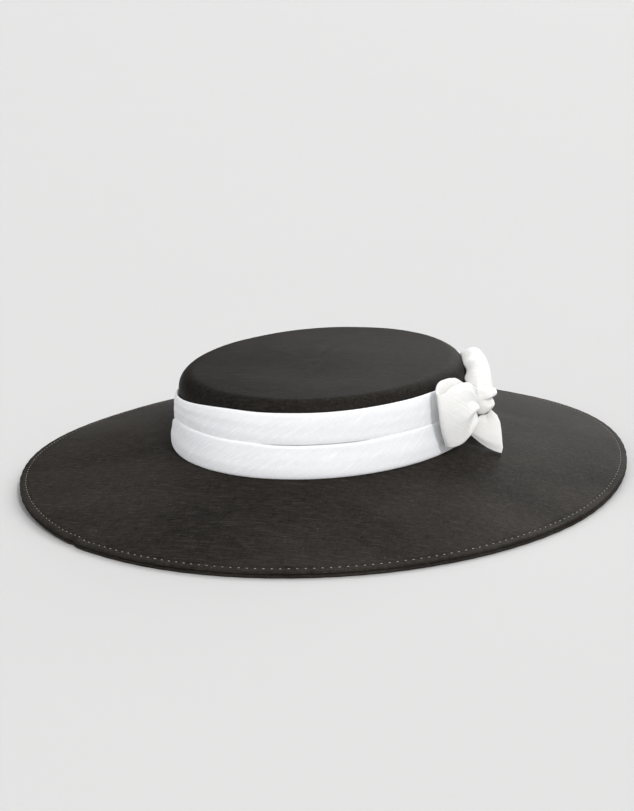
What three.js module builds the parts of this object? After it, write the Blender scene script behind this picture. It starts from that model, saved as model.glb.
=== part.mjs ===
// A boater hat: a silk-covered crown and two-ply brim, a pleated band of two tiers and a side bow.
// Millimetres, +Z up. The hat rests on the rim of its brim: the origin is on the surface it rests on,
// under the middle of the crown. -Y is the hat's front, +X is the side that wears the bow.
import * as THREE from "three";
import { mergeVertices } from "three/addons/utils/BufferGeometryUtils.js";

// Head opening and crown
const headHalfWidth = 83.2; // the opening's inside half, side to side
const headHalfLength = 98.4; // the opening's inside half, front to back
const crownWall = 2.2;
const crownHeight = 41.7; // from the crown's foot to its top
const crownLean = 2.0; // how far the wall leans in on its way up
const crownShoulder = 9.8; // radius of the soft edge between wall and tip
const tipDish = 1.6; // how far the tip sags in the middle

// Brim: two plies of covered stiffening, sewn together near the edge
const brimWidthSide = 97.8; // from the opening to the edge at the sides
const brimWidthFront = 96.6; // from the opening to the edge at front and back
const brimDrop = 20.3; // fall of the upper face from the opening to the edge
const brimCamber = 0.8; // how far the upper face bows up halfway
const plyThickness = 1.6;
const plyGap = 0.3;
const edgeLift = 3.2; // how far the edge curls up at its two lifted stretches
const edgeLiftTurn = 28; // degrees from +X to the middle of the first lifted stretch
const footWidth = 1.8; // flat under the edge where the hat rests
const hemWidth = 7; // the lower ply is thicker over this width, where its edge is turned in

// Band: two pleated tiers of soft silk
const bandHeight = 36.6; // from the brim to the upper tier's top fold
const bandClearance = 0.3;
const slotHeight = 19.6; // from the brim to the lower tier's top fold
const slotDip = 5.5; // how far that fold drops at the hat's back left
const slotDipTurn = -160; // degrees from +X to the middle of the drop
const slotDipSpan = 24; // degrees from the middle of the drop to where it ends
const upperTierDepth = 2.3; // how far the tier's fullest part stands off the crown
const lowerTierDepth = 4.4;
const tierOverlap = 5; // how far the upper tier runs down behind the lower one
const pocketDepth = 0.8; // share of the upper tier's depth that the lower tier's pocket leaves for it

// Bow: two loops lie along the band on either side of the knot, and a tail hangs from the knot
const bowTurn = 6; // degrees from +X to the knot
const bowHeight = 22.2; // the knot's middle above the band's foot
const bowClearance = 0.3;
const ribbonThickness = 1.4;
const knotWidth = 14;
const knotHeight = 15.8;
const knotDepth = 14.6;
const knotCrease = 0.2; // share of the knot's depth that the crease across it takes
const knotCreaseUp = 0.1; // the crease's place above the knot's middle, as a share of its half height
const knotCreaseSpan = 0.2; // how far the crease reaches up and down, as the same share
const knotTilt = 0.2; // share of its depth that its top stands out further and its foot less
const knotEndFullness = 0.6; // 1 is a round end, less is a fuller one
const knotFaceFullness = 0.7;
const loopLength = 43.5; // from the knot to the fold at the loop's end
const loopHeight = 40; // the loops' edges below are shares of it
const frontLoopDepth = 9;
const backLoopDepth = 7;
const loopTuck = 7; // how much shorter a loop is along its bottom edge
const loopTuckBend = 2.5; // how late on the way down the tuck sets in
const loopPuff = 1.2; // how far the outer layer bellies out halfway up
const loopCrease = 1.2; // depth of the gathers that run out from the knot
const loopGathers = 2; // gathers over the height of a loop's root
const gatherReach = 0.7; // share of a loop's length over which the gathers fade
const frontLoopLean = 3; // how far a loop's top leans in over the band
const backLoopLean = 10;
const loopLeanBend = 2.5; // how late on the way up the lean sets in
const frontLoopDrop = 2.4; // how much lower the outer layer's top edge lies than the inner one's
const backLoopDrop = 0.6;
const frontLoopCurl = 0.6; // how far the outer layer's top edge curls in over the loop's opening
const backLoopCurl = 4;
const innerLayerTo = 0.3; // shares of a loop's depth where its inner layer ends and its outer one is full
const outerLayerFrom = 0.8;
const tailReach = 25.3; // how far the tail stands off the band
const tailSwing = 16; // how far the tail swings to the front on its way down
const tailRise = 10; // how much higher its inner corner hangs than the corner on the brim
const tailBow = 1.7; // 1 leaves the tail's lower edge straight, more bows it down
const tailThickness = 1.6;
const tailClearance = 0.9; // from the tail's lowest corner to the brim

// How finely the round forms are cut
const roundSteps = 64;
const loopOutlineSteps = 16;
const loopRows = 10;
const tailRows = 8;

const edgeThickness = 2 * plyThickness + plyGap;
const lengthening = headHalfLength - headHalfWidth;
const wallSlope = crownLean / crownHeight;

const smooth = (share) => THREE.MathUtils.smoothstep(share, 0, 1);
const mix = THREE.MathUtils.lerp;
const radians = THREE.MathUtils.degToRad;

// Height of the brim's upper face where it is not lifted, at a distance out from the head opening
function brimTopAt(out) {
  const share = out / brimWidthSide;
  return edgeThickness + brimDrop * (1 - share) + brimCamber * 4 * share * (1 - share);
}

// Extra height of the brim on its two lifted stretches, opposite each other
function liftAt(angle, out) {
  const wave = Math.max(0, Math.cos(2 * (angle - radians(edgeLiftTurn))));
  const share = THREE.MathUtils.clamp(out / brimWidthSide, 0, 1);
  return edgeLift * wave ** 1.5 * share ** 2;
}

// A place given by its angle round the oval and its distance out from the head opening
function ovalPoint(angle, out, up) {
  const frontOut = out > 0 ? (out * brimWidthFront) / brimWidthSide : out;
  return new THREE.Vector3(
    (headHalfWidth + out) * Math.cos(angle), (headHalfLength + frontOut) * Math.sin(angle), up,
  );
}

// Joins equal vertices into one closed body and drops the faces that shrank to a line. A mirrored body
// has its faces turned round so that they look outwards again.
function closed(geometry, mirrored = false) {
  geometry.deleteAttribute("normal");
  geometry.deleteAttribute("uv");
  const body = mergeVertices(geometry, 1e-3);
  const corners = Array.from(body.index.array);
  const kept = [];
  for (let i = 0; i < corners.length; i += 3) {
    const [a, b, c] = corners.slice(i, i + 3);
    if (a === b || b === c || c === a) continue;
    kept.push(a, ...(mirrored ? [c, b] : [b, c]));
  }
  return body.setIndex(kept);
}

// Reads a table at a place between its rows: every other column is mixed from the two rows around it
function readTable(table, column, at) {
  const next = Math.max(1, table.findIndex((row) => row[column] >= at));
  const [low, high] = [table[next - 1], table[next]];
  const share = (at - low[column]) / (high[column] - low[column]);
  const names = Object.keys(low);
  return Object.fromEntries(names.map((name) => [name, mix(low[name], high[name], share)]));
}

// Moves every vertex of a geometry to the place that a function gives for it
function remap(geometry, place) {
  const position = geometry.attributes.position;
  const vertex = new THREE.Vector3();
  for (let i = 0; i < position.count; i++) {
    vertex.fromBufferAttribute(position, i);
    position.setXYZ(i, ...place(vertex).toArray());
  }
  return geometry;
}

// Turns a profile of {out, up} places once round the oval. The lathe works on plain radii, so the places
// ride on it by number and the oval is laid out afterwards.
function ovalRing(profileAt, endsOnAxis) {
  const count = profileAt(0).length;
  const numbers = [];
  for (let i = 0; i < count; i++) numbers.push(new THREE.Vector2(count + i, i));
  if (!endsOnAxis) numbers.push(numbers[0].clone());
  const lathe = new THREE.LatheGeometry(numbers, roundSteps);
  const position = lathe.attributes.position;
  for (let i = 0; i < position.count; i++) {
    const angle = Math.atan2(position.getX(i), position.getZ(i));
    const { out, up } = profileAt(angle)[Math.round(position.getY(i))];
    position.setXYZ(i, ...crownOval(angle, out, up).toArray());
  }
  return closed(lathe);
}

// The oval keeps its lengthening outside the tip's flat part and shrinks evenly inside it
function crownOval(angle, out, up) {
  if (out >= -crownShoulder) return ovalPoint(angle, out, up);
  const share = (headHalfWidth + out) / (headHalfWidth - crownShoulder);
  const rim = ovalPoint(angle, -crownShoulder, up);
  return new THREE.Vector3(rim.x * share, rim.y * share, up);
}

// Points of a quarter or half round, from one turn to another, without its first point
function arc(centreOut, centreUp, radius, from, to, steps) {
  const points = [];
  for (let i = 1; i <= steps; i++) {
    const turn = radians(mix(from, to, i / steps));
    points.push({ out: centreOut + radius * Math.cos(turn), up: centreUp + radius * Math.sin(turn) });
  }
  return points;
}

const crownFoot = brimTopAt(0) + bandClearance;
const crownTop = crownFoot + crownHeight;

// Distance out of the crown's outer face at a height
const crownOutAt = (up) => crownWall - wallSlope * (up - crownFoot);

// Rows of the crown's tip, as shares of the way from its middle to its shoulder
const tipRows = [0.35, 0.7];

function crownGeometry() {
  const outerShoulder = crownOutAt(crownTop - crownShoulder);
  const innerRadius = crownShoulder - crownWall;
  const shoulderUp = crownTop - crownShoulder;
  const centreOut = outerShoulder - crownShoulder;
  const axisOut = -headHalfWidth;
  const halfway = mix(crownFoot, shoulderUp, 0.5);
  const dishAt = (share) => crownTop - tipDish * (1 - smooth(share));
  const tip = (share) => ({ out: mix(axisOut, centreOut, share), up: dishAt(share) });
  const lining = tipRows.map(tip).map(({ out, up }) => ({ out, up: up - crownWall }));
  const profile = [
    { out: axisOut, up: dishAt(0) - crownWall },
    ...lining,
    { out: centreOut, up: crownTop - crownWall },
    ...arc(centreOut, shoulderUp, innerRadius, 90, 0, 3),
    { out: 0, up: crownFoot },
    { out: crownWall, up: crownFoot },
    { out: crownOutAt(halfway), up: halfway },
    { out: outerShoulder, up: shoulderUp },
    ...arc(centreOut, shoulderUp, crownShoulder, 0, 90, 5),
    ...tipRows.map(tip).reverse(),
    { out: axisOut, up: dishAt(0) },
  ];
  return ovalRing(() => profile, true);
}

// Rows of the brim, as shares of its width from the opening to the edge
const brimRows = [0.12, 0.3, 0.5, 0.7, 0.85];

function brimTopGeometry() {
  const roll = plyThickness / 2;
  const edge = brimWidthSide - roll;
  const face = (share, depth) => ({ out: share * edge, up: brimTopAt(share * edge) - depth });
  const profile = [
    ...[0, ...brimRows, 1].map((share) => face(share, plyThickness)),
    ...arc(edge, brimTopAt(edge) - roll, roll, -90, 90, 4),
    ...[0, ...brimRows].map((share) => face(share, 0)).reverse(),
  ];
  return ovalRing((angle) => lifted(profile, angle));
}

function brimUnderGeometry() {
  const roll = plyThickness / 2;
  const edge = brimWidthSide - roll;
  const hem = (edge - hemWidth) / edge;
  const face = (share, depth) => ({ out: share * edge, up: brimTopAt(share * edge) - depth });
  const profile = [
    ...[0, ...brimRows, hem].map((share) => face(share, edgeThickness)),
    { out: edge - footWidth, up: 0 },
    { out: edge, up: 0 },
    ...arc(edge, roll, roll, -90, 75, 4),
    ...[0, ...brimRows, 1].map((share) => face(share, plyThickness + plyGap)).reverse(),
  ];
  return ovalRing((angle) => lifted(profile, angle));
}

function lifted(profile, angle) {
  return profile.map(({ out, up }) => ({ out, up: up + liftAt(angle, out) }));
}

// The band's tiers. Heights are shares of the tier, depths are shares of how far it stands off the crown.
const upperTier = [
  { height: 0.0, depth: 0.55 },
  { height: 0.25, depth: 0.8 },
  { height: 0.55, depth: 1.0 },
  { height: 0.8, depth: 0.92 },
  { height: 0.95, depth: 0.72 },
  { height: 1.0, depth: 0.45 },
];
const lowerTier = [
  { height: 0.0, depth: 0.86 },
  { height: 0.12, depth: 0.99 },
  { height: 0.35, depth: 1.0 },
  { height: 0.62, depth: 0.86 },
  { height: 0.8, depth: 0.74 },
  { height: 0.93, depth: 0.78 },
  { height: 0.99, depth: 0.72 },
];

// Height of the lower tier's top fold above the band's foot
function slotAt(angle) {
  const turn = angle - radians(slotDipTurn);
  const away = Math.abs(Math.atan2(Math.sin(turn), Math.cos(turn))) / radians(slotDipSpan);
  return slotHeight - slotDip * (1 - smooth(away));
}

const bandFoot = brimTopAt(crownWall + bandClearance + lowerTierDepth) + bandClearance;
const bandInside = (up) => crownOutAt(up) + bandClearance;

function bandUpperGeometry() {
  return ovalRing((angle) => {
    const foot = bandFoot + slotAt(angle) - tierOverlap;
    const top = bandFoot + bandHeight;
    const front = upperTier.map(({ height, depth }) => {
      const up = mix(foot, top, height);
      return { out: bandInside(up) + upperTierDepth * depth, up };
    });
    return [...front, { out: bandInside(top), up: top }, { out: bandInside(foot), up: foot }];
  }, false);
}

function bandLowerGeometry() {
  return ovalRing((angle) => {
    const top = bandFoot + slotAt(angle);
    const front = lowerTier.map(({ height, depth }) => {
      const up = mix(bandFoot, top, height);
      return { out: bandInside(up) + lowerTierDepth * depth, up };
    });
    const pocket = top - tierOverlap - bandClearance;
    const behind = upperTierDepth * pocketDepth + bandClearance;
    const backFoot = brimTopAt(crownWall + bandClearance) + bandClearance;
    return [
      ...front,
      { out: bandInside(top) + behind, up: top },
      { out: bandInside(pocket) + behind, up: pocket },
      { out: bandInside(pocket), up: pocket },
      { out: bandInside(backFoot), up: backFoot },
    ];
  }, false);
}

// A place on the bow: along the band from the knot's middle, out from the band's fullest place and up
// from its foot
const bandFace = crownWall + bandClearance + lowerTierDepth;
const bowRadius = headHalfLength + bandFace;

function bowPoint(along, out, up) {
  return ovalPoint(radians(bowTurn) + along / bowRadius, bandFace + out, bandFoot + up);
}

// The middle line of a loop's ribbon seen from above, from the outer root round the fold to the inner root
const loopLine = [
  { along: 0.0, out: 0.5 },
  { along: 0.25, out: 0.82 },
  { along: 0.6, out: 1.0 },
  { along: 0.88, out: 0.86 },
  { along: 1.0, out: 0.52 },
  { along: 0.88, out: 0.18 },
  { along: 0.5, out: 0.08 },
  { along: 0.0, out: 0.12 },
];

// The loop's edges above and below the knot's middle, as shares of its height, and the shares of the lean,
// of the outer layer's drop and of its curl that the top edge has there
const loopEdges = [
  { along: 0.0, top: 0.21, bottom: 0.22, lean: 0.0, drop: 0.0, curl: 0.4 },
  { along: 0.2, top: 0.32, bottom: 0.23, lean: 0.8, drop: 0.0, curl: 1.0 },
  { along: 0.4, top: 0.47, bottom: 0.27, lean: 1.0, drop: 0.0, curl: 1.0 },
  { along: 0.6, top: 0.51, bottom: 0.34, lean: 0.95, drop: 0.35, curl: 0.8 },
  { along: 0.8, top: 0.51, bottom: 0.4, lean: 0.85, drop: 0.8, curl: 0.4 },
  { along: 0.93, top: 0.46, bottom: 0.41, lean: 0.8, drop: 1.0, curl: 0.1 },
  { along: 1.0, top: 0.38, bottom: 0.41, lean: 0.8, drop: 0.5, curl: 0.0 },
  { along: 1.1, top: 0.34, bottom: 0.41, lean: 0.8, drop: 0.4, curl: 0.0 },
];

function loopGeometry(side, loopDepth, lean, outerDrop, outerCurl) {
  const line = new THREE.SplineCurve(
    loopLine.map(({ along, out }) => new THREE.Vector2(along * loopLength, out * loopDepth)),
  );
  const outer = [];
  const inner = [];
  for (let i = 0; i <= loopOutlineSteps; i++) {
    const point = line.getPoint(i / loopOutlineSteps);
    const tangent = line.getTangent(i / loopOutlineSteps);
    const normal = new THREE.Vector2(-tangent.y, tangent.x).multiplyScalar(ribbonThickness / 2);
    outer.push(point.clone().add(normal));
    inner.unshift(point.clone().sub(normal));
  }
  const loop = new THREE.ExtrudeGeometry(new THREE.Shape([...outer, ...inner]), {
    depth: 1, steps: loopRows, bevelEnabled: false,
  });
  const root = knotWidth / 2 + bowClearance;
  remap(loop, ({ x, y, z }) => {
    const reach = Math.max(0, x / loopLength);
    const { top, bottom, lean: leaning, drop, curl } = readTable(loopEdges, "along", reach);
    const layer = y / loopDepth;
    const outerShare = THREE.MathUtils.smoothstep(layer, innerLayerTo, outerLayerFrom);
    const height = mix(-bottom * loopHeight, top * loopHeight - outerDrop * drop * outerShare, z);
    const along = root + x - loopTuck * Math.min(1, reach) * (1 - z) ** loopTuckBend;
    const belly = loopPuff * Math.sin(Math.PI * z) * Math.sin(Math.PI * Math.min(1, reach)) * layer;
    const waves = Math.cos(2 * Math.PI * loopGathers * z);
    const gather = loopCrease * waves * (1 - smooth(reach / gatherReach)) * layer;
    const rise = Math.max(0, height) / (loopHeight / 2);
    const tilt = lean * leaning * rise ** loopLeanBend;
    const roll = outerCurl * curl * outerShare * Math.max(0, 2 * z - 1) ** loopLeanBend;
    const out = bowClearance + ribbonThickness / 2 + y + belly + gather - tilt - roll;
    return bowPoint(side * along, out, bowHeight + height);
  });
  return closed(loop, side > 0);
}

// The knot is a pillow with a flat back and a crease across its face
function knotGeometry() {
  const boxy = (value, power) => Math.sign(value) * Math.abs(value) ** power;
  const pillow = new THREE.SphereGeometry(1, 20, 14);
  remap(pillow, ({ x, y, z }) => {
    const along = (boxy(x, knotEndFullness) * knotWidth) / 2;
    const up = bowHeight + (boxy(y, knotFaceFullness) * knotHeight) / 2;
    const crease = knotCrease * Math.exp(-(((y - knotCreaseUp) / knotCreaseSpan) ** 2));
    const depth = knotDepth * (1 - crease) * (1 + knotTilt * y);
    const out = bowClearance + (depth * (1 + boxy(z, knotFaceFullness))) / 2;
    return bowPoint(along, out, up);
  });
  return closed(pillow);
}

// The tail's rows on its way down: its swing along the band, and where its two edges stand off the band
const tailShape = [
  { down: 0.0, swing: 0.12, inner: 0.32, outer: 0.52 },
  { down: 0.1, swing: 0.34, inner: 0.26, outer: 0.7 },
  { down: 0.25, swing: 0.52, inner: 0.22, outer: 0.81 },
  { down: 0.55, swing: 0.75, inner: 0.17, outer: 0.9 },
  { down: 0.85, swing: 0.92, inner: 0.14, outer: 0.96 },
  { down: 1.0, swing: 1.0, inner: 0.13, outer: 0.94 },
];

function tailGeometry() {
  const sheet = new THREE.BoxGeometry(1, 1, 1, 6, 1, tailRows);
  const top = bowHeight - knotHeight / 2 - bowClearance;
  const tip = bandFace + tailReach * tailShape.at(-1).outer;
  const ground = brimTopAt(tip) + tailClearance - bandFoot;
  remap(sheet, ({ x, y, z }) => {
    const across = x + 0.5;
    const down = 0.5 - z;
    const { swing, inner, outer } = readTable(tailShape, "down", down);
    const out = mix(inner, outer, across) * tailReach;
    const along = tailThickness * y - tailSwing * swing;
    const foot = ground + tailRise * (1 - across) ** tailBow;
    return bowPoint(along, out, mix(top, foot, down));
  });
  return closed(sheet);
}

const blackSilk = new THREE.MeshStandardMaterial({ color: 0x2b2927, roughness: 0.62, metalness: 0 });
const whiteSilk = new THREE.MeshStandardMaterial({ color: 0xf3f3f5, roughness: 0.55, metalness: 0 });

const hat = new THREE.Group();

function addPiece(name, geometry, material) {
  const mesh = new THREE.Mesh(geometry, material);
  mesh.name = name;
  hat.add(mesh);
}

addPiece("crown", crownGeometry(), blackSilk);
addPiece("brim_top", brimTopGeometry(), blackSilk);
addPiece("brim_under", brimUnderGeometry(), blackSilk);
addPiece("band_upper", bandUpperGeometry(), whiteSilk);
addPiece("band_lower", bandLowerGeometry(), whiteSilk);
const frontLoop = loopGeometry(-1, frontLoopDepth, frontLoopLean, frontLoopDrop, frontLoopCurl);
addPiece("bow_loop_front", frontLoop, whiteSilk);
const backLoop = loopGeometry(1, backLoopDepth, backLoopLean, backLoopDrop, backLoopCurl);
addPiece("bow_loop_back", backLoop, whiteSilk);
addPiece("bow_knot", knotGeometry(), whiteSilk);
addPiece("bow_tail", tailGeometry(), whiteSilk);

export default hat;
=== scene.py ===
"""A boater hat in black slubbed silk with a white pleated band and a side bow, on a pale floor."""
import math

import bpy
import numpy as np
from bpy.props import FloatProperty, FloatVectorProperty, PointerProperty
from mathutils import Matrix, Vector


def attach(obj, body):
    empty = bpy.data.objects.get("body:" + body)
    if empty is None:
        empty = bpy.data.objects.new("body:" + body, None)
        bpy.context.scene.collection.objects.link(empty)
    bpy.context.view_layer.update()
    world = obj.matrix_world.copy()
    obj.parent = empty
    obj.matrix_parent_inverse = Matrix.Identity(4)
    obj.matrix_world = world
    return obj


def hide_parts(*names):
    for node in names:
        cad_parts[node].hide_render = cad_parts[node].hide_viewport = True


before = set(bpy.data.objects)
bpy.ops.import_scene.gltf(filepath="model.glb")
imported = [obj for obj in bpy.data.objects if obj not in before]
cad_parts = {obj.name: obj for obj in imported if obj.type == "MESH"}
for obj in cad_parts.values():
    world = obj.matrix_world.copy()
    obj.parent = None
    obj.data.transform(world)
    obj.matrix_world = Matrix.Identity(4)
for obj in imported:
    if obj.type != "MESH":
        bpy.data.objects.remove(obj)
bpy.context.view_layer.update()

bl_info = {
    "name": "Boater Hat",
    "version": (1, 0, 0),
    "blender": (4, 5, 0),
    "location": "View3D > Sidebar > Hat",
    "description": "Dresses the boater hat: crown, brim, stitching, pleated band and bow",
    "category": "Object",
}

MM = 0.001

# The hat's own sizes, as the frame's solids have them: lengths in millimetres, turns and spans in degrees
HEAD_HALF_WIDTH = 83.2
HEAD_HALF_LENGTH = 98.4
CROWN_WALL = 2.2
CROWN_HEIGHT = 41.7
CROWN_LEAN = 2.0
CROWN_SHOULDER = 9.8
TIP_DISH = 1.6
BRIM_SIDE = 97.8
BRIM_FRONT = 96.6
BRIM_DROP = 20.3
BRIM_CAMBER = 0.8
PLY = 1.6
PLY_GAP = 0.3
EDGE_LIFT = 3.2
EDGE_LIFT_TURN = 28.0
FOOT_WIDTH = 1.8
HEM_WIDTH = 7.0
BAND_HEIGHT = 36.6
CLEARANCE = 0.3
SLOT_HEIGHT = 19.6
SLOT_DIP = 5.5
SLOT_DIP_TURN = -160.0
SLOT_DIP_SPAN = 24.0
UPPER_DEPTH = 2.3
LOWER_DEPTH = 4.4
BOW_TURN = 6.0
BOW_HEIGHT = 22.2
KNOT_WIDTH = 14.0
KNOT_HEIGHT = 15.8
KNOT_DEPTH = 14.6
KNOT_TILT = 0.2  # a share of the knot's depth
LOOP_LENGTH = 43.5
LOOP_HEIGHT = 40.0
LOOP_TUCK = 7.0
RIBBON = 1.2
TAIL_REACH = 25.3
TAIL_SWING = 16.0
TAIL_RISE = 10.0
TAIL_BOW = 1.7  # the power that its lower edge bows by
EDGE = 2 * PLY + PLY_GAP


def smooth(share):
    """Eases a share in and out between 0 and 1, and holds it there beyond them."""
    share = np.clip(share, 0, 1)
    return share * share * (3 - 2 * share)


def hump(value, middle, width):
    """One at the middle, fading like a bell over the width."""
    return np.exp(-((value - middle) / width) ** 2)


def turn_from(angle, turn):
    """The shorter way round the hat from a turn to each angle."""
    return np.angle(np.exp(1j * (angle - turn)))


def near(angle, turn, span):
    """One at a turn round the hat, fading to nothing at a span to either side."""
    return 1 - smooth(np.abs(turn_from(angle, turn)) / span)


def brim_top_at(out):
    """Height of the brim's upper face, where it is not lifted, at a distance out from the opening."""
    share = out / BRIM_SIDE
    return EDGE + BRIM_DROP * (1 - share) + BRIM_CAMBER * 4 * share * (1 - share)


def lift_at(angle, out):
    """How far the brim curls up at its two lifted stretches."""
    wave = np.maximum(0, np.cos(2 * (angle - math.radians(EDGE_LIFT_TURN))))
    return EDGE_LIFT * wave ** 1.5 * np.clip(out / BRIM_SIDE, 0, 1) ** 2


def oval(angle, out, up):
    """Places round the hat's oval, in millimetres, from arrays of angle, distance out and height."""
    front = np.where(out > 0, out * BRIM_FRONT / BRIM_SIDE, out)
    share = np.where(out < -CROWN_SHOULDER, (HEAD_HALF_WIDTH + out) / (HEAD_HALF_WIDTH - CROWN_SHOULDER), 1)
    across = np.where(out < -CROWN_SHOULDER, HEAD_HALF_WIDTH - CROWN_SHOULDER, HEAD_HALF_WIDTH + out)
    length = np.where(out < -CROWN_SHOULDER, HEAD_HALF_LENGTH - CROWN_SHOULDER, HEAD_HALF_LENGTH + front)
    x = across * share * np.cos(angle)
    y = length * share * np.sin(angle)
    return np.stack(np.broadcast_arrays(x, y, up), -1)


def unevenness(a, b, seed, size):
    """A soft hand-made unevenness over two coordinates that both count in radians or waves."""
    chance = np.random.RandomState(seed)
    total = np.zeros(np.broadcast(a, b).shape)
    for wave in range(1, 7):
        turns, rise = chance.randint(1, 3 + 3 * wave), chance.uniform(0.5, 2.5)
        total = total + np.cos(turns * a + rise * b + chance.uniform(0, 2 * math.pi)) / wave
    return size * total / 2


def arc(out, up, radius, start, end, steps):
    """Points on an arc round a centre, from a start to an end in degrees."""
    turns = np.radians(np.linspace(start, end, steps))
    return [(out + radius * math.cos(t), up + radius * math.sin(t)) for t in turns]


def dense(points, step):
    """The same line with a point at least every step millimetres."""
    line = [points[0]]
    for p, q in zip(points, points[1:]):
        count = max(1, int(math.hypot(q[0] - p[0], q[1] - p[1]) / step))
        for i in range(1, count + 1):
            line.append((p[0] + (q[0] - p[0]) * i / count, p[1] + (q[1] - p[1]) * i / count))
    return line


def read_table(table, at, soft=0.0):
    """Every other column of a table, read at places given in its first one, with the corners softened."""
    rows = np.array(table, float)
    shifts = np.linspace(-soft, soft, 7)
    return [
        np.mean([np.interp(at + shift, rows[:, 0], rows[:, k]) for shift in shifts], axis=0)
        for k in range(1, rows.shape[1])
    ]


def spline(points, at):
    """A smooth line through points, read at shares from 0 to 1."""
    points = np.array(points, float)
    place = np.clip(at, 0, 1) * (len(points) - 1)
    i = np.minimum(place.astype(int), len(points) - 2)
    t = (place - i)[:, None]
    p0, p1 = points[np.maximum(i - 1, 0)], points[i]
    p2, p3 = points[i + 1], points[np.minimum(i + 2, len(points) - 1)]
    v0, v1 = (p2 - p0) / 2, (p3 - p1) / 2
    return (2 * p1 - 2 * p2 + v0 + v1) * t ** 3 + (3 * p2 - 3 * p1 - 2 * v0 - v1) * t ** 2 + v0 * t + p1


def outward(points, faces):
    """True if a closed or nearly closed skin faces outwards."""
    corners = [(face[0], face[i], face[i + 1]) for face in faces for i in range(1, len(face) - 1)]
    a, b, c = (points[np.array(corners)] - points.mean(0)).transpose(1, 0, 2)
    return np.sum(a * np.cross(b, c)) > 0


def add_piece(name, points, faces, material, node, uv=None):
    """Makes a smooth mesh object from millimetre places and hands it to the frame."""
    if not outward(points, faces):
        faces = [tuple(reversed(face)) for face in faces]
    mesh = bpy.data.meshes.new(name)
    mesh.from_pydata((points * MM).tolist(), [], faces)
    if uv is not None:
        layer = mesh.uv_layers.new(name="Cloth")
        corners = np.array([uv[loop.vertex_index] for loop in mesh.loops]).ravel()
        layer.data.foreach_set("uv", corners)
    mesh.polygons.foreach_set("use_smooth", [True] * len(mesh.polygons))
    mesh.update()
    piece = bpy.data.objects.new(name, mesh)
    bpy.context.scene.collection.objects.link(piece)
    mesh.materials.append(material)
    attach(piece, "root")
    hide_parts(node)
    return piece


def grid_faces(rows, columns, wrap_rows=False, wrap_columns=False):
    """Quads of a grid whose place (row, column) is at row * columns + column."""
    faces = []
    for i in range(rows if wrap_rows else rows - 1):
        for j in range(columns if wrap_columns else columns - 1):
            k, m = (i + 1) % rows, (j + 1) % columns
            faces.append((i * columns + j, k * columns + j, k * columns + m, i * columns + m))
    return faces


def thicken(piece, thickness):
    """Gives a sheet its cloth thickness and applies it."""
    wall = piece.modifiers.new("Cloth thickness", "SOLIDIFY")
    wall.thickness = thickness * MM
    wall.offset = 0
    wall.use_even_offset = True
    depsgraph = bpy.context.evaluated_depsgraph_get()
    mesh = bpy.data.meshes.new_from_object(piece.evaluated_get(depsgraph))
    piece.modifiers.remove(wall)
    old, piece.data = piece.data, mesh
    bpy.data.meshes.remove(old)
    mesh.name = piece.name


def linear(code):
    """An sRGB hex colour as linear red, green, blue and alpha."""
    parts = [int(code[i:i + 2], 16) / 255 for i in (1, 3, 5)]
    return tuple(p / 12.92 if p <= 0.04045 else ((p + 0.055) / 1.055) ** 2.4 for p in parts) + (1.0,)


def add_node(tree, kind, settings=None, inputs=None, links=None):
    """Adds a node, sets its properties and sockets and links other nodes' outputs into it."""
    node = tree.nodes.new(kind)
    for key, value in (settings or {}).items():
        setattr(node, key, value)
    for key, value in (inputs or {}).items():
        node.inputs[key].default_value = value
    for key, output in (links or {}).items():
        tree.links.new(output, node.inputs[key])
    return node


def new_material(name):
    material = bpy.data.materials.new(name)
    material.use_nodes = True
    material.node_tree.nodes.clear()
    return material, material.node_tree


def ramp(tree, source, stops):
    """A colour ramp over a 0 to 1 value, from (place, colour) stops."""
    node = add_node(tree, "ShaderNodeValToRGB", links={"Fac": source})
    elements = node.color_ramp.elements
    elements[0].position, elements[0].color = stops[0]
    elements[1].position, elements[1].color = stops[-1]
    for place, colour in stops[1:-1]:
        elements.new(place).color = colour
    return node


def grey(value):
    return (value, value, value, 1)


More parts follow.
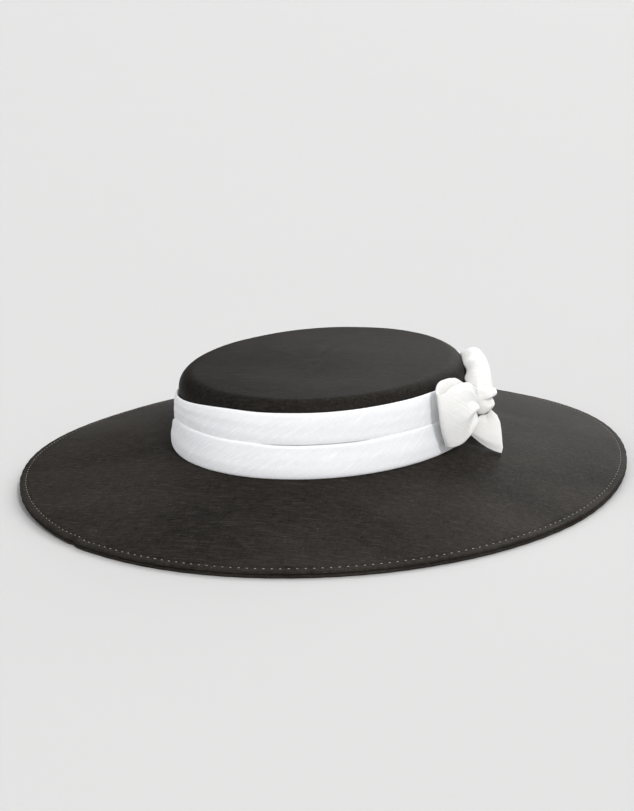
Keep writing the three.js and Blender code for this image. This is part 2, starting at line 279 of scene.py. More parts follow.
def slubbed_silk(name, dark, light, coordinates, turn, slub_share, sheen, roughness, relief, gloss):
    """Dupion silk, made once under its name: a plain weave whose weft threads thicken here and there.

    Those slubs are what the eye sees: fine broken streaks along the weft, a little lighter and raised. The
    weave itself, about 0.25 mm a thread, is drawn at 0.6 mm so that it still shows in the render. Pale specks
    are its stray fibres.
    """
    made = bpy.data.materials.get(name)
    if made:
        return made
    material, tree = new_material(name)
    place = add_node(tree, "ShaderNodeTexCoord")
    turned = add_node(
        tree, "ShaderNodeMapping",
        inputs={"Rotation": (0, 0, turn)}, links={"Vector": place.outputs[coordinates]},
    )

    def streaks(along, across, detail, rough, offset):
        """Noise stretched along the weft: sizes in metres."""
        scaled = add_node(
            tree, "ShaderNodeMapping",
            inputs={"Scale": (1 / along, 1 / across, 1 / across), "Location": (offset, offset, offset)},
            links={"Vector": turned.outputs["Vector"]},
        )
        return add_node(
            tree, "ShaderNodeTexNoise",
            inputs={"Scale": 1.0, "Detail": detail, "Roughness": rough},
            links={"Vector": scaled.outputs["Vector"]},
        ).outputs["Fac"]

    weft = streaks(along=0.006, across=0.0006, detail=2, rough=0.6, offset=3.1)
    warp = streaks(along=0.0006, across=0.005, detail=2, rough=0.5, offset=7.7)
    slubs = streaks(along=0.013, across=0.0011, detail=2, rough=0.55, offset=1.3)
    specks = streaks(along=0.0012, across=0.0012, detail=0, rough=0.5, offset=9.1)
    tone = streaks(along=0.09, across=0.05, detail=2, rough=0.5, offset=5.9)

    slub_mask = ramp(tree, slubs, [(0.52, grey(0)), (0.74, grey(1))]).outputs["Color"]
    threads = add_node(
        tree, "ShaderNodeMix", {"data_type": "FLOAT"}, {"Factor": 0.4}, {2: weft, 3: warp}
    ).outputs[0]
    fine = add_node(
        tree, "ShaderNodeMapRange",
        inputs={"From Min": 0.3, "From Max": 0.7, "To Min": 0.0, "To Max": 0.55},
        links={"Value": threads},
    ).outputs[0]
    broad = add_node(
        tree, "ShaderNodeMapRange",
        inputs={"From Min": 0.3, "From Max": 0.7, "To Min": -0.12, "To Max": 0.16},
        links={"Value": tone},
    ).outputs[0]
    streaky = add_node(
        tree, "ShaderNodeMath", {"operation": "MULTIPLY_ADD"}, {1: slub_share}, {0: slub_mask, 2: fine}
    ).outputs[0]
    flecks = ramp(tree, specks, [(0.77, grey(0)), (0.83, grey(0.7))]).outputs["Color"]
    flecked = add_node(tree, "ShaderNodeMath", {"operation": "ADD"}, None, {0: streaky, 1: flecks}).outputs[0]
    lightness = add_node(
        tree, "ShaderNodeMath", {"operation": "ADD", "use_clamp": True}, None, {0: flecked, 1: broad}
    ).outputs[0]
    colour = add_node(
        tree, "ShaderNodeMix", {"data_type": "RGBA"}, {6: linear(dark), 7: linear(light)}, {0: lightness}
    ).outputs[2]
    height = add_node(
        tree, "ShaderNodeMath", {"operation": "MULTIPLY_ADD"}, {1: 0.6}, {0: slub_mask, 2: threads}
    ).outputs[0]
    bump = add_node(
        tree, "ShaderNodeBump", inputs={"Strength": relief, "Distance": 0.0003}, links={"Height": height}
    ).outputs[0]
    shader = add_node(
        tree, "ShaderNodeBsdfPrincipled",
        inputs={
            "Roughness": roughness, "IOR": 1.3, "Sheen Weight": sheen, "Sheen Roughness": 0.45,
            "Sheen Tint": linear(light), "Specular IOR Level": gloss,
        },
        links={"Base Color": colour, "Normal": bump},
    )
    add_node(tree, "ShaderNodeOutputMaterial", links={"Surface": shader.outputs[0]})
    return material


def thread_material(name, colour):
    """Spun silk thread: matt, with a fine twist that shows as a slight mottling."""
    material, tree = new_material(name)
    place = add_node(tree, "ShaderNodeTexCoord")
    noise = add_node(
        tree, "ShaderNodeTexNoise",
        inputs={"Scale": 1800.0, "Detail": 1.0}, links={"Vector": place.outputs["Object"]},
    )
    shade = ramp(tree, noise.outputs["Fac"], [(0.3, linear("#8d877d")), (0.7, colour)])
    shader = add_node(
        tree, "ShaderNodeBsdfPrincipled",
        inputs={"Roughness": 0.7}, links={"Base Color": shade.outputs["Color"]},
    )
    add_node(tree, "ShaderNodeOutputMaterial", links={"Surface": shader.outputs[0]})
    return material


def floor_material(name, colour):
    """A sheet of matt studio paper: even, with the faintest mottling."""
    material, tree = new_material(name)
    place = add_node(tree, "ShaderNodeTexCoord")
    noise = add_node(
        tree, "ShaderNodeTexNoise",
        inputs={"Scale": 3.0, "Detail": 2.0}, links={"Vector": place.outputs["Object"]},
    )
    duller = tuple(0.985 * c for c in colour[:3]) + (1,)
    shade = ramp(tree, noise.outputs["Fac"], [(0.0, duller), (1.0, colour)])
    shader = add_node(
        tree, "ShaderNodeBsdfPrincipled",
        inputs={"Roughness": 0.95, "Specular IOR Level": 0.1}, links={"Base Color": shade.outputs["Color"]},
    )
    add_node(tree, "ShaderNodeOutputMaterial", links={"Surface": shader.outputs[0]})
    return material


def black_silk(name="Black dupion silk", dark="#151312", light="#423e39"):
    """The cover's silk: near black with warm grey streaks and little shine, so its weave is what shows."""
    return slubbed_silk(
        name, dark, light, "Object", bpy.context.scene.hat_sizes.weft_turn,
        slub_share=0.34, sheen=0.0, roughness=0.4, relief=0.5, gloss=0.018,
    )


def white_bias_silk():
    """The band's silk: cool white, cut on the bias, so its faint slubs run slanting round the hat."""
    return slubbed_silk(
        "White dupion silk on the bias", "#e5e7ea", "#f6f6f7", "UV", math.radians(-32),
        slub_share=0.5, sheen=0.05, roughness=0.5, relief=0.5, gloss=0.3,
    )


def white_silk():
    """The bow's silk: a warmer white than the band's, so the bow stands out from it."""
    return slubbed_silk(
        "White dupion silk", "#e0e0de", "#efefed", "UV", math.radians(-40),
        slub_share=0.5, sheen=0.05, roughness=0.5, relief=0.45, gloss=0.3,
    )


class HatSizes(bpy.types.PropertyGroup):
    """Sizes of the hat's finish"""
    stitch_spacing: FloatProperty(
        name="Stitch spacing", description="From one stitch near the brim's edge to the next", default=0.0043,
        min=0.002, unit="LENGTH",
    )
    stitch_length: FloatProperty(
        name="Stitch length", description="Length of thread that shows", default=0.0013,
        min=0.0005, unit="LENGTH",
    )
    stitch_inset: FloatProperty(
        name="Stitch inset", description="From the brim's edge to the stitches", default=0.0037, unit="LENGTH"
    )
    thread_width: FloatProperty(
        name="Thread width", description="Width of the stitching thread", default=0.00045, unit="LENGTH"
    )
    weft_turn: FloatProperty(
        name="Weft turn", description="How far the black silk's slubs turn from the hat's width",
        default=math.radians(-8), subtype="ANGLE",
    )


class HatColours(bpy.types.PropertyGroup):
    """Colours of the small pieces and the floor"""
    thread: FloatVectorProperty(
        name="Thread", description="Colour of the stitching thread", subtype="COLOR", size=4, min=0, max=1,
        default=linear("#a39d92"),
    )
    floor: FloatVectorProperty(
        name="Floor", description="Colour of the floor", subtype="COLOR", size=4, min=0, max=1,
        default=linear("#c2c2c2"),
    )


CROWN_FOOT = float(brim_top_at(0)) + CLEARANCE
CROWN_TOP = CROWN_FOOT + CROWN_HEIGHT
TIP_PADDING = 2.8  # the padding under the tip's silk, thickest in the middle, which the solid doesn't have
CROWN_UNEVENNESS = 0.22
CROWN_EASE = 20.0  # how far from the crown's foot and from its middle that sets in


def crown_out_at(up):
    return CROWN_WALL - CROWN_LEAN / CROWN_HEIGHT * (up - CROWN_FOOT)


class HAT_OT_crown(bpy.types.Operator):
    """Makes the silk-covered crown over its stiff form"""
    bl_idname = "hat.crown"
    bl_label = "Crown"

    def execute(self, context):
        shoulder_up = CROWN_TOP - CROWN_SHOULDER
        rim = crown_out_at(shoulder_up)
        centre = rim - CROWN_SHOULDER
        dome = TIP_PADDING - TIP_DISH
        tip = [
            (-HEAD_HALF_WIDTH * (1 - s) + centre * s, CROWN_TOP + dome * (1 - s * s))
            for s in np.linspace(1, 0, 26)[1:-1]
        ]
        outer = dense([(CROWN_WALL, CROWN_FOOT), (rim, shoulder_up)], 2.0)
        outer += arc(centre, shoulder_up, CROWN_SHOULDER, 0, 90, 14)[1:] + tip
        inner = [(out, up - CROWN_WALL) for out, up in reversed(tip)]
        inner += arc(centre, shoulder_up, CROWN_SHOULDER - CROWN_WALL, 90, 0, 8)
        inner += dense([inner[-1], (0, CROWN_FOOT)], 4.0)[1:]
        profile = np.array(inner + outer)
        steps, columns = 256, len(profile)
        angle = np.linspace(0, 2 * math.pi, steps, endpoint=False)[:, None]
        out = np.broadcast_to(profile[:, 0], (steps, columns)).copy()
        up = np.broadcast_to(profile[:, 1], (steps, columns)).copy()
        sets_in = smooth((HEAD_HALF_WIDTH + out) / CROWN_EASE) * smooth((up - CROWN_FOOT) / CROWN_EASE)
        up += sets_in * unevenness(angle, out / 14, 11, CROWN_UNEVENNESS)
        middle_up = CROWN_TOP + dome
        poles = [(0, 0, middle_up - CROWN_WALL), (0, 0, middle_up)]
        points = np.vstack([oval(angle, out, up).reshape(-1, 3), poles])
        faces = grid_faces(steps, columns, wrap_rows=True)
        first = steps * columns
        for i in range(steps):
            k = (i + 1) % steps
            faces.append((first, k * columns, i * columns))
            faces.append((first + 1, i * columns + columns - 1, k * columns + columns - 1))
        # The crown's silk is the brim's fabric given darker colours than the brim's: painted shade, so that
        # the crown shows less lit than the brim
        silk = black_silk("Black dupion silk of the crown, darkened as painted shade", "#131211", "#37332f")
        add_piece("crown_cover", points, faces, silk, "crown")
        return {"FINISHED"}


# The stitch line round the brim: its channel, and the ripples of silk along it
CHANNEL_DEPTH = 0.35
CHANNEL_WIDTH = 0.9
PUCKERS = 270
PUCKER_RISE = 0.12
PUCKER_WIDTH = 2.2
BRIM_UNEVENNESS = 0.22

# The join in the brim's edge: turns and widths along the edge in degrees, the rest in millimetres
EDGE_JOIN = math.radians(-112.5)
JOIN_START = 58.0  # how far out from the opening it begins to show
CREASE_RISE = 0.7
CREASE_TURN = -0.2
CREASE_SLANT = 0.03  # degrees to a millimetre out
CREASE_WIDTH = 1.6
GROOVE_DEPTH = 0.5
GROOVE_TURN = 2.2
GROOVE_WIDTH = 1.2
LAP_TURN = math.radians(2.5)  # the rolled edge's overlap, and the notch beside it
LAP_RISE = 0.5
LAP_WIDTH = 1.6
NOTCH_DEPTH = 0.9
NOTCH_TURN = -3.2
NOTCH_WIDTH = 0.5

# The rolled edge's own unevenness
EDGE_REACH = 3.0  # how far in from the edge it reaches
EDGE_WOBBLE = 0.18
EDGE_RIPPLES = 97
EDGE_RIPPLE = 0.1


def brim_relief(angle, out):
    """Small rises of the brim's upper face: the stitch line's channel, its puckers and the join's crease."""
    line = BRIM_SIDE - bpy.context.scene.hat_sizes.stitch_inset / MM
    channel = -CHANNEL_DEPTH * hump(out, line, CHANNEL_WIDTH)
    pucker = PUCKER_RISE * np.cos(angle * PUCKERS) * hump(out, line, PUCKER_WIDTH)
    inner = smooth(out / 30) * (1 - smooth((out - line + 6) / 5))
    soft = unevenness(angle, out / 25, 5, BRIM_UNEVENNESS) * inner
    turn = np.degrees(turn_from(angle, EDGE_JOIN))
    reach = smooth((out - JOIN_START) / 20) * (1 - smooth((out - line) / 4))
    crease = CREASE_RISE * hump(turn + (BRIM_SIDE - out) * CREASE_SLANT, CREASE_TURN, CREASE_WIDTH)
    groove = -GROOVE_DEPTH * hump(turn, GROOVE_TURN, GROOVE_WIDTH)
    return channel + pucker + soft + (crease + groove) * reach


def brim_ring(name, profile, relief_rows, node):
    """One ply: a closed profile taken round the hat, with the relief on its rows that have any."""
    steps = 512
    profile = np.array(profile)
    angle = np.linspace(0, 2 * math.pi, steps, endpoint=False)[:, None]
    out = np.broadcast_to(profile[:, 0], (steps, len(profile))).copy()
    up = profile[:, 1] + lift_at(angle, out)
    if relief_rows is not None:
        up += relief_rows * brim_relief(angle, out)
    wobble = unevenness(angle, 0 * out, 8, EDGE_WOBBLE) + EDGE_RIPPLE * np.cos(angle * EDGE_RIPPLES)
    join = np.degrees(turn_from(angle, EDGE_JOIN + LAP_TURN))
    lap, notch = LAP_RISE * hump(join, 0, LAP_WIDTH), -NOTCH_DEPTH * hump(join, NOTCH_TURN, NOTCH_WIDTH)
    for move in (wobble, lap, notch):
        out += move * smooth((out - BRIM_SIDE + EDGE_REACH) / EDGE_REACH)
    points = oval(angle, out, up).reshape(-1, 3)
    faces = grid_faces(steps, len(profile), wrap_rows=True, wrap_columns=True)
    add_piece(name, points, faces, black_silk(), node)


class HAT_OT_brim(bpy.types.Operator):
    """Makes the brim's two covered plies with their rolled edges"""
    bl_idname = "hat.brim"
    bl_label = "Brim"

    def execute(self, context):
        roll = PLY / 2
        edge = BRIM_SIDE - roll
        rows = np.concatenate([np.linspace(0, 0.88, 30), np.linspace(0.9, 1, 14)])

        def face(share, depth):
            return (share * edge, float(brim_top_at(share * edge)) - depth)

        top = [face(s, PLY) for s in np.linspace(0, 1, 10)]
        top += arc(edge, float(brim_top_at(edge)) - roll, roll, -90, 90, 10)[1:-1]
        lower = len(top)
        top += [face(s, 0) for s in rows[::-1]]
        relief = np.array([0] * lower + [1] * len(rows))
        brim_ring("brim_upper_ply", top, relief, "brim_top")

        hem = (edge - HEM_WIDTH) / edge
        under = [face(s, EDGE) for s in np.linspace(0, hem, 14)]
        under += [(edge - FOOT_WIDTH, 0), (edge, 0)]
        under += arc(edge, roll, roll, -90, 75, 9)[1:]
        under += [face(s, PLY + PLY_GAP) for s in np.linspace(1, 0, 10)]
        brim_ring("brim_lower_ply", under, None, "brim_under")
        return {"FINISHED"}


STITCH_TILT = (0.05, 0.05, 0.22)  # how far a stitch may turn about each of its axes, in radians
STITCH_PROUD = 0.05  # how far the thread's middle lies above the silk


def stitch_tree():
    """Geometry nodes: a row of short rounded stitches laid along a closed line."""
    tree = bpy.data.node_groups.new("Stitch row", "GeometryNodeTree")
    face = tree.interface
    face.new_socket("Geometry", in_out="INPUT", socket_type="NodeSocketGeometry")
    for name in ("Spacing", "Length", "Width"):
        socket = face.new_socket(name, in_out="INPUT", socket_type="NodeSocketFloat")
        socket.subtype = "DISTANCE"
    face.new_socket("Seed", in_out="INPUT", socket_type="NodeSocketInt")
    face.new_socket("Thread", in_out="INPUT", socket_type="NodeSocketMaterial")
    face.new_socket("Geometry", in_out="OUTPUT", socket_type="NodeSocketGeometry")
    given = add_node(tree, "NodeGroupInput")
    line = add_node(tree, "GeometryNodeMeshToCurve", links={"Mesh": given.outputs["Geometry"]})
    places = add_node(
        tree, "GeometryNodeResampleCurve", {"mode": "LENGTH"},
        links={"Curve": line.outputs["Curve"], "Length": given.outputs["Spacing"]},
    )
    along = add_node(tree, "GeometryNodeInputTangent")
    turn = add_node(
        tree, "FunctionNodeAlignRotationToVector", {"axis": "X"}, links={"Vector": along.outputs["Tangent"]}
    )
    tilt = add_node(
        tree, "FunctionNodeRandomValue", {"data_type": "FLOAT_VECTOR"},
        {"Min": tuple(-t for t in STITCH_TILT), "Max": STITCH_TILT}, {"Seed": given.outputs["Seed"]},
    )
    tilted = add_node(
        tree, "FunctionNodeRotateRotation", {"rotation_space": "LOCAL"},
        links={"Rotation": turn.outputs["Rotation"], "Rotate By": tilt.outputs["Value"]},
    )
    half = add_node(tree, "ShaderNodeCombineXYZ")
    for socket, source in (("X", "Length"), ("Y", "Width"), ("Z", "Width")):
        halved = add_node(
            tree, "ShaderNodeMath", {"operation": "MULTIPLY"}, {1: 0.5}, {0: given.outputs[source]}
        )
        tree.links.new(halved.outputs[0], half.inputs[socket])
    grain = add_node(
        tree, "GeometryNodeMeshUVSphere", inputs={"Segments": 8, "Rings": 5, "Radius": 1.0}
    )
    stitches = add_node(
        tree, "GeometryNodeInstanceOnPoints",
        links={
            "Points": places.outputs["Curve"], "Instance": grain.outputs["Mesh"],
            "Rotation": tilted.outputs["Rotation"], "Scale": half.outputs["Vector"],
        },
    )
    real = add_node(tree, "GeometryNodeRealizeInstances", links={"Geometry": stitches.outputs["Instances"]})
    dyed = add_node(
        tree, "GeometryNodeSetMaterial",
        links={"Geometry": real.outputs["Geometry"], "Material": given.outputs["Thread"]},
    )
    add_node(tree, "NodeGroupOutput", links={"Geometry": dyed.outputs["Geometry"]})
    return tree


class HAT_OT_stitches(bpy.types.Operator):
    """Sews the row of small stitches near the brim's edge"""
    bl_idname = "hat.stitches"
    bl_label = "Brim stitching"

    def execute(self, context):
        sizes = context.scene.hat_sizes
        thread = thread_material("Spun silk thread", tuple(context.scene.hat_colours.thread))
        steps = 720
        angle = np.linspace(0, 2 * math.pi, steps, endpoint=False)
        out = np.full(steps, BRIM_SIDE - sizes.stitch_inset / MM)
        up = brim_top_at(out) + lift_at(angle, out) + brim_relief(angle, out) + STITCH_PROUD
        points = oval(angle, out, up) * MM
        mesh = bpy.data.meshes.new("Stitch line")
        mesh.from_pydata(points.tolist(), [(i, (i + 1) % steps) for i in range(steps)], [])
        line = bpy.data.objects.new("Stitch line", mesh)
        context.scene.collection.objects.link(line)
        row = line.modifiers.new("Stitch row", "NODES")
        row.node_group = stitch_tree()
        values = {
            "Spacing": sizes.stitch_spacing, "Length": sizes.stitch_length, "Width": sizes.thread_width,
            "Seed": 7, "Thread": thread,
        }
        for socket in row.node_group.interface.items_tree:
            if socket.name in values:
                row[socket.identifier] = values[socket.name]
        depsgraph = context.evaluated_depsgraph_get()
        sewn = bpy.data.meshes.new_from_object(line.evaluated_get(depsgraph))
        if not sewn.polygons:
            raise RuntimeError("the stitch row made no stitches")
        bpy.data.objects.remove(line)
        sewn.name = "brim_stitching"
        sewn.polygons.foreach_set("use_smooth", [True] * len(sewn.polygons))
        piece = bpy.data.objects.new("brim_stitching", sewn)
        context.scene.collection.objects.link(piece)
        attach(piece, "root")
        return {"FINISHED"}


BAND_FACE = CROWN_WALL + CLEARANCE + LOWER_DEPTH
BAND_FOOT = float(brim_top_at(BAND_FACE)) + CLEARANCE
BAND_SILK = 0.5  # thickness of the band's silk
TIER_LAP = 0.3  # how far the upper tier's foot laps over the slot
SLOT_GAP = 0.85  # how far the slot stands open in front
SLOT_GAP_TURN = math.radians(-66)
SLOT_GAP_SPAN = math.radians(28)
PINCH = 8.0  # how far the bow pulls the band's top edge down behind it
PINCH_TURN = math.radians(12)
PINCH_SPAN = math.radians(26)
SAG_TURN = math.radians(-165)  # where the band has slid down the crown, at the left in the photograph
SAG_EDGE = 8.4  # how far its top edge sits lower there
SAG_EDGE_SPAN = math.radians(70)
SAG_SLOT = 4.6  # and how far the slot does
SAG_SLOT_SPAN = math.radians(38)
SLOT_UNEVENNESS = 0.3
EDGE_UNEVENNESS = 0.25
UPPER_FOLDS = 0.09  # height of the faint folds along each tier
LOWER_FOLDS = 0.11

# Each tier's section, from its foot to its top: shares of its height and of how far it stands off the crown.
# The upper tier starts with a small lip turned in at the slot, and its last five points run down to the crown
# behind its top edge. The lower tier's top is folded in under that lip
UPPER_FOLD = [
    (0.03, 0.62), (0.0, 0.72), (0.01, 0.84), (0.06, 0.93), (0.15, 0.98), (0.4, 1.02), (0.55, 1.0),
    (0.7, 0.98), (0.8, 0.92), (0.9, 0.82), (0.95, 0.72), (0.985, 0.58), (1.0, 0.4), (0.985, 0.22),
    (0.95, 0.12), (0.8, 0.12), (0.5, 0.12), (0.2, 0.12),
]
UPPER_FRONT_SPANS = 12  # of its spans, those that show and so take most of the rows
LOWER_FOLD = [
    (0.0, 0.84), (0.04, 0.93), (0.12, 0.99), (0.25, 1.01), (0.35, 1.0), (0.5, 0.94), (0.62, 0.88),
    (0.72, 0.83), (0.8, 0.79), (0.9, 0.745), (0.95, 0.7), (0.98, 0.6), (0.995, 0.45), (1.0, 0.3),
    (0.998, 0.18), (0.99, 0.1), (0.98, 0.06),
]


def slot_line(angle):
    """Height of the slot between the tiers, round the hat."""
    dip = SLOT_DIP * near(angle, math.radians(SLOT_DIP_TURN), math.radians(SLOT_DIP_SPAN))
    slot = SLOT_HEIGHT - dip - SAG_SLOT * near(angle, SAG_TURN, SAG_SLOT_SPAN)
    return BAND_FOOT + slot + unevenness(angle, 0 * angle, 21, SLOT_UNEVENNESS)


def band_inside(up):
    return crown_out_at(up) + CLEARANCE


def band_tier(name, node, outs, ups, flat):
    """A folded strip of bias-cut silk: rows of out and up over the angle, as an open sheet."""
    steps = 384
    angle = np.linspace(0, 2 * math.pi, steps, endpoint=False)[:, None]
    out, up = outs(angle), ups(angle)
    points = oval(angle, out, up).reshape(-1, 3)
    columns = out.shape[1]
    places = points.reshape(steps, columns, 3)
    around = np.linspace(0, flat[0], steps)[:, None] + 0 * out
    length = np.zeros((steps, columns))
    length[:, 1:] = np.cumsum(np.linalg.norm(np.diff(places, axis=1), axis=2), axis=1) * MM
    uv = np.stack([around, length], -1).reshape(-1, 2)
    faces = grid_faces(steps, columns, wrap_rows=True)
    piece = add_piece(name, points, faces, white_bias_silk(), node, uv)
    thicken(piece, BAND_SILK)


class HAT_OT_band(bpy.types.Operator):
    """Makes the two tiers of the pleated band"""
    bl_idname = "hat.band"
    bl_label = "Pleated band"

    def execute(self, context):
        spans = len(UPPER_FOLD) - 1
        front_rows = np.linspace(0, UPPER_FRONT_SPANS, 61)
        rows = np.concatenate([front_rows, np.linspace(UPPER_FRONT_SPANS, spans, 14)[1:]]) / spans
        upper = spline(UPPER_FOLD, rows)
        lower = spline(LOWER_FOLD, np.linspace(0, 1, 66))

        def upper_up(angle):
            foot = slot_line(angle) - TIER_LAP
            edge = BAND_FOOT + BAND_HEIGHT - PINCH * near(angle, PINCH_TURN, PINCH_SPAN)
            edge = edge - SAG_EDGE * near(angle, SAG_TURN, SAG_EDGE_SPAN)
            soft = unevenness(angle, upper[:, 0] * 2, 3, EDGE_UNEVENNESS) * smooth(upper[:, 0] * 3)
            return foot + (edge - foot) * upper[:, 0] + soft

        def upper_out(angle):
            folds = unevenness(angle, upper[:, 0] * 7, 4, UPPER_FOLDS) * smooth(upper[:, 1] * 2 - 0.4)
            return band_inside(upper_up(angle)) + UPPER_DEPTH * upper[:, 1] + folds

        def lower_up(angle):
            foot = BAND_FOOT + BAND_SILK / 2
            turn = np.abs(turn_from(angle, SLOT_GAP_TURN)) / SLOT_GAP_SPAN
            fold = slot_line(angle) - BAND_SILK / 2 - SLOT_GAP * (1 - smooth(turn * 2 - 1))
            return foot + (fold - foot) * lower[:, 0]

        def lower_out(angle):
            folds = unevenness(angle, lower[:, 0] * 6, 6, LOWER_FOLDS)
            return band_inside(lower_up(angle)) + LOWER_DEPTH * lower[:, 1] + folds - BAND_SILK / 2

        band_tier("band_upper_tier", "band_upper", upper_out, upper_up, (0.62, 0.031))
        band_tier("band_lower_tier", "band_lower", lower_out, lower_up, (0.64, 0.021))
        return {"FINISHED"}


BOW_RADIUS = HEAD_HALF_LENGTH + BAND_FACE  # turns a length along the band into a turn round the hat


def bow_place(along, out, up):
    """Places on the bow: along the band from the knot, out from its fullest place and up from its foot."""
    angle = math.radians(BOW_TURN) + along / BOW_RADIUS
    return oval(angle, BAND_FACE + out, BAND_FOOT + up)


# Middle line of a loop's ribbon seen from above: shares of its length and of its depth
LOOP_LINE = [
    (0.0, 0.5), (0.25, 0.82), (0.6, 1.0), (0.88, 0.86), (1.0, 0.52), (0.88, 0.18), (0.5, 0.08), (0.0, 0.12),
]

# A loop's edges above and below the knot's middle, as shares of its height, then the shares of the lean, of
# the outer layer's drop and of its curl that the top edge has there
LOOP_EDGES = [
    (0.0, 0.21, 0.22, 0.0, 0.0, 0.6), (0.2, 0.33, 0.23, 0.8, 0.3, 0.9), (0.4, 0.47, 0.27, 1.0, 0.45, 1.1),
    (0.6, 0.52, 0.34, 0.95, 0.6, 1.1), (0.8, 0.53, 0.40, 0.85, 0.8, 1.0), (0.93, 0.49, 0.41, 0.8, 1.0, 0.8),
    (1.0, 0.42, 0.41, 0.8, 0.5, 0.6), (1.1, 0.38, 0.41, 0.8, 0.4, 0.5),
]

# Creases that fan out from the knot over a loop's outer layer: direction, width and height off the band
CREASES = ((-0.05, 0.08, 1.1), (0.22, 0.1, -1.1), (0.5, 0.1, 0.9), (-0.35, 0.12, -0.8))
LOOP_SET_OFF = 0.7  # from the clearance off the band to the loop's inner layer
LOOP_BELLY = 1.2  # how far a loop's outer layer swells in its middle
LOOP_GATHER = 1.2  # height of the gathers beside the knot
ROLL_START = 0.45  # the share of a loop's height where its outer layer begins to roll
FULL_CURL = 4.0  # a curl in millimetres from which the roll passes the top


def bow_loop(name, node, side, depth, lean, flare, hood, crest, crest_span, drop, curl, seed):
    """One loop: a sheet that runs out from the knot along the band, outer layer first, and back under itself.

    side is 1 toward the hat's back and -1 toward its front. In millimetres, depth is how far the loop stands
    off the band, lean how far its top leans in, flare how far the inner layer's top stands out, hood how
    much the end swells and the neck draws in, crest the inner top's rise near the knot, drop how much lower
    the outer top lies, and curl how far that rolls in toward the crown. crest_span is a share of the length.
    """
    across, rows = 121, 61
    s = np.linspace(0, 1, across)
    line = spline(LOOP_LINE, s) * [LOOP_LENGTH, depth]
    x, y = line[:, 0][:, None], line[:, 1][:, None]
    z = np.linspace(0, 1, rows)[None, :]
    reach = np.clip(x / LOOP_LENGTH, 0, 1)
    top, bottom, leaning, dropping, curling = (
        c[:, None] for c in read_table(LOOP_EDGES, x[:, 0] / LOOP_LENGTH, soft=0.05)
    )
    layer = y / depth
    outer = smooth((layer - 0.3) / 0.5)

    # Its lower and upper edges, and the height of each place between them
    neck = hood * hump(reach, 0.15, 0.13)
    far = hood * smooth((reach - 0.7) / 0.3)
    brow = crest * hump(reach, 0.28, crest_span) * (1 - outer)
    low = -bottom * LOOP_HEIGHT
    high = top * LOOP_HEIGHT - dropping * drop * outer + 0.45 * far + brow - 0.35 * neck
    fullness = min(1, curl / FULL_CURL)
    turn = np.clip((z - ROLL_START) / (1 - ROLL_START), 0, 1) * math.pi * (0.5 + 0.22 * fullness)
    rolled = np.where(z < ROLL_START, z, ROLL_START + (1 - ROLL_START) * np.sin(turn))
    share = z + (rolled - z) * outer * curling * fullness
    dent = hump(reach, 0.46, 0.06) * hump(z, 0.83, 0.07)
    ridge = hump(reach, 0.34, 0.05) * hump(z, 0.8, 0.12)
    height = low + (high - low) * share - hood * (0.25 * dent - 0.12 * ridge) * outer
    along = KNOT_WIDTH / 2 + CLEARANCE + x - LOOP_TUCK * reach * (1 - z) ** 2.5

    # How far it stands off the band: swelling, gathers and creases
    belly = LOOP_BELLY * np.sin(math.pi * z) * np.sin(math.pi * reach) * layer
    gather = LOOP_GATHER * np.cos(4 * math.pi * z) * (1 - smooth(reach / 0.7)) * layer
    fan = np.arctan2(z - 0.45, reach + 0.25)
    creases = sum(size * hump(fan, way, width) for way, width, size in CREASES)
    creases = creases * smooth((layer - 0.4) / 0.4) * (1 - smooth((reach - 0.2) / 0.7))
    soft = 0.8 * unevenness(s[:, None] * 6, z * 4, seed, 0.3) * np.sin(math.pi * s)[:, None]

    # How far its top leans in, flares out or rolls over
    rising = low + (high - low) * z
    risen = np.clip((rising - 6) / (high - 6), 0, 1) ** 1.3
    tilt = lean * leaning * (np.maximum(0, rising) / (LOOP_HEIGHT / 2)) ** 2.5
    tilt = tilt + flare * smooth(reach / 0.15) * (1 - 0.7 * reach) * risen * (1 - outer)
    tilt = tilt + neck * risen * outer
    roll = curl * curling * outer * (1 - np.cos(turn))
    out = CLEARANCE + LOOP_SET_OFF + y + belly + gather + creases + soft - tilt - roll

    points = bow_place(side * along, out, BOW_HEIGHT + height).reshape(-1, 3)
    along_cloth = np.concatenate([[0], np.cumsum(np.hypot(*np.diff(line, axis=0).T))]) * MM
    uv = np.stack(np.broadcast_arrays(along_cloth[:, None], height * MM), -1).reshape(-1, 2)
    faces = grid_faces(across, rows)
    piece = add_piece(name, points, faces, white_silk(), node, uv)
    thicken(piece, RIBBON)


class HAT_OT_bow_loops(bpy.types.Operator):
    """Makes the bow's two loops of folded ribbon"""
    bl_idname = "hat.bow_loops"
    bl_label = "Bow loops"

    def execute(self, context):
        bow_loop(
            "bow_front_loop", "bow_loop_front", side=-1, depth=9.0, lean=3.0, flare=0.0, hood=0.0,
            crest=0.5, crest_span=0.2, drop=3.2, curl=0.6, seed=31,
        )
        bow_loop(
            "bow_back_loop", "bow_loop_back", side=1, depth=7.0, lean=8.5, flare=2.0, hood=6.0,
            crest=-6.0, crest_span=0.9, drop=0.6, curl=4.5, seed=32,
        )
        return {"FINISHED"}


KNOT_CREASE = 0.2  # the crease across the wrap's front, as a share of its depth
KNOT_CREASE_PLACE = 0.1  # as shares of half the knot's height
KNOT_CREASE_WIDTH = 0.16
KNOT_PLEAT = 0.25  # height of the wrap's fine pleats
KNOT_RADIUS = 8.0  # for the weave's coordinates round the wrap


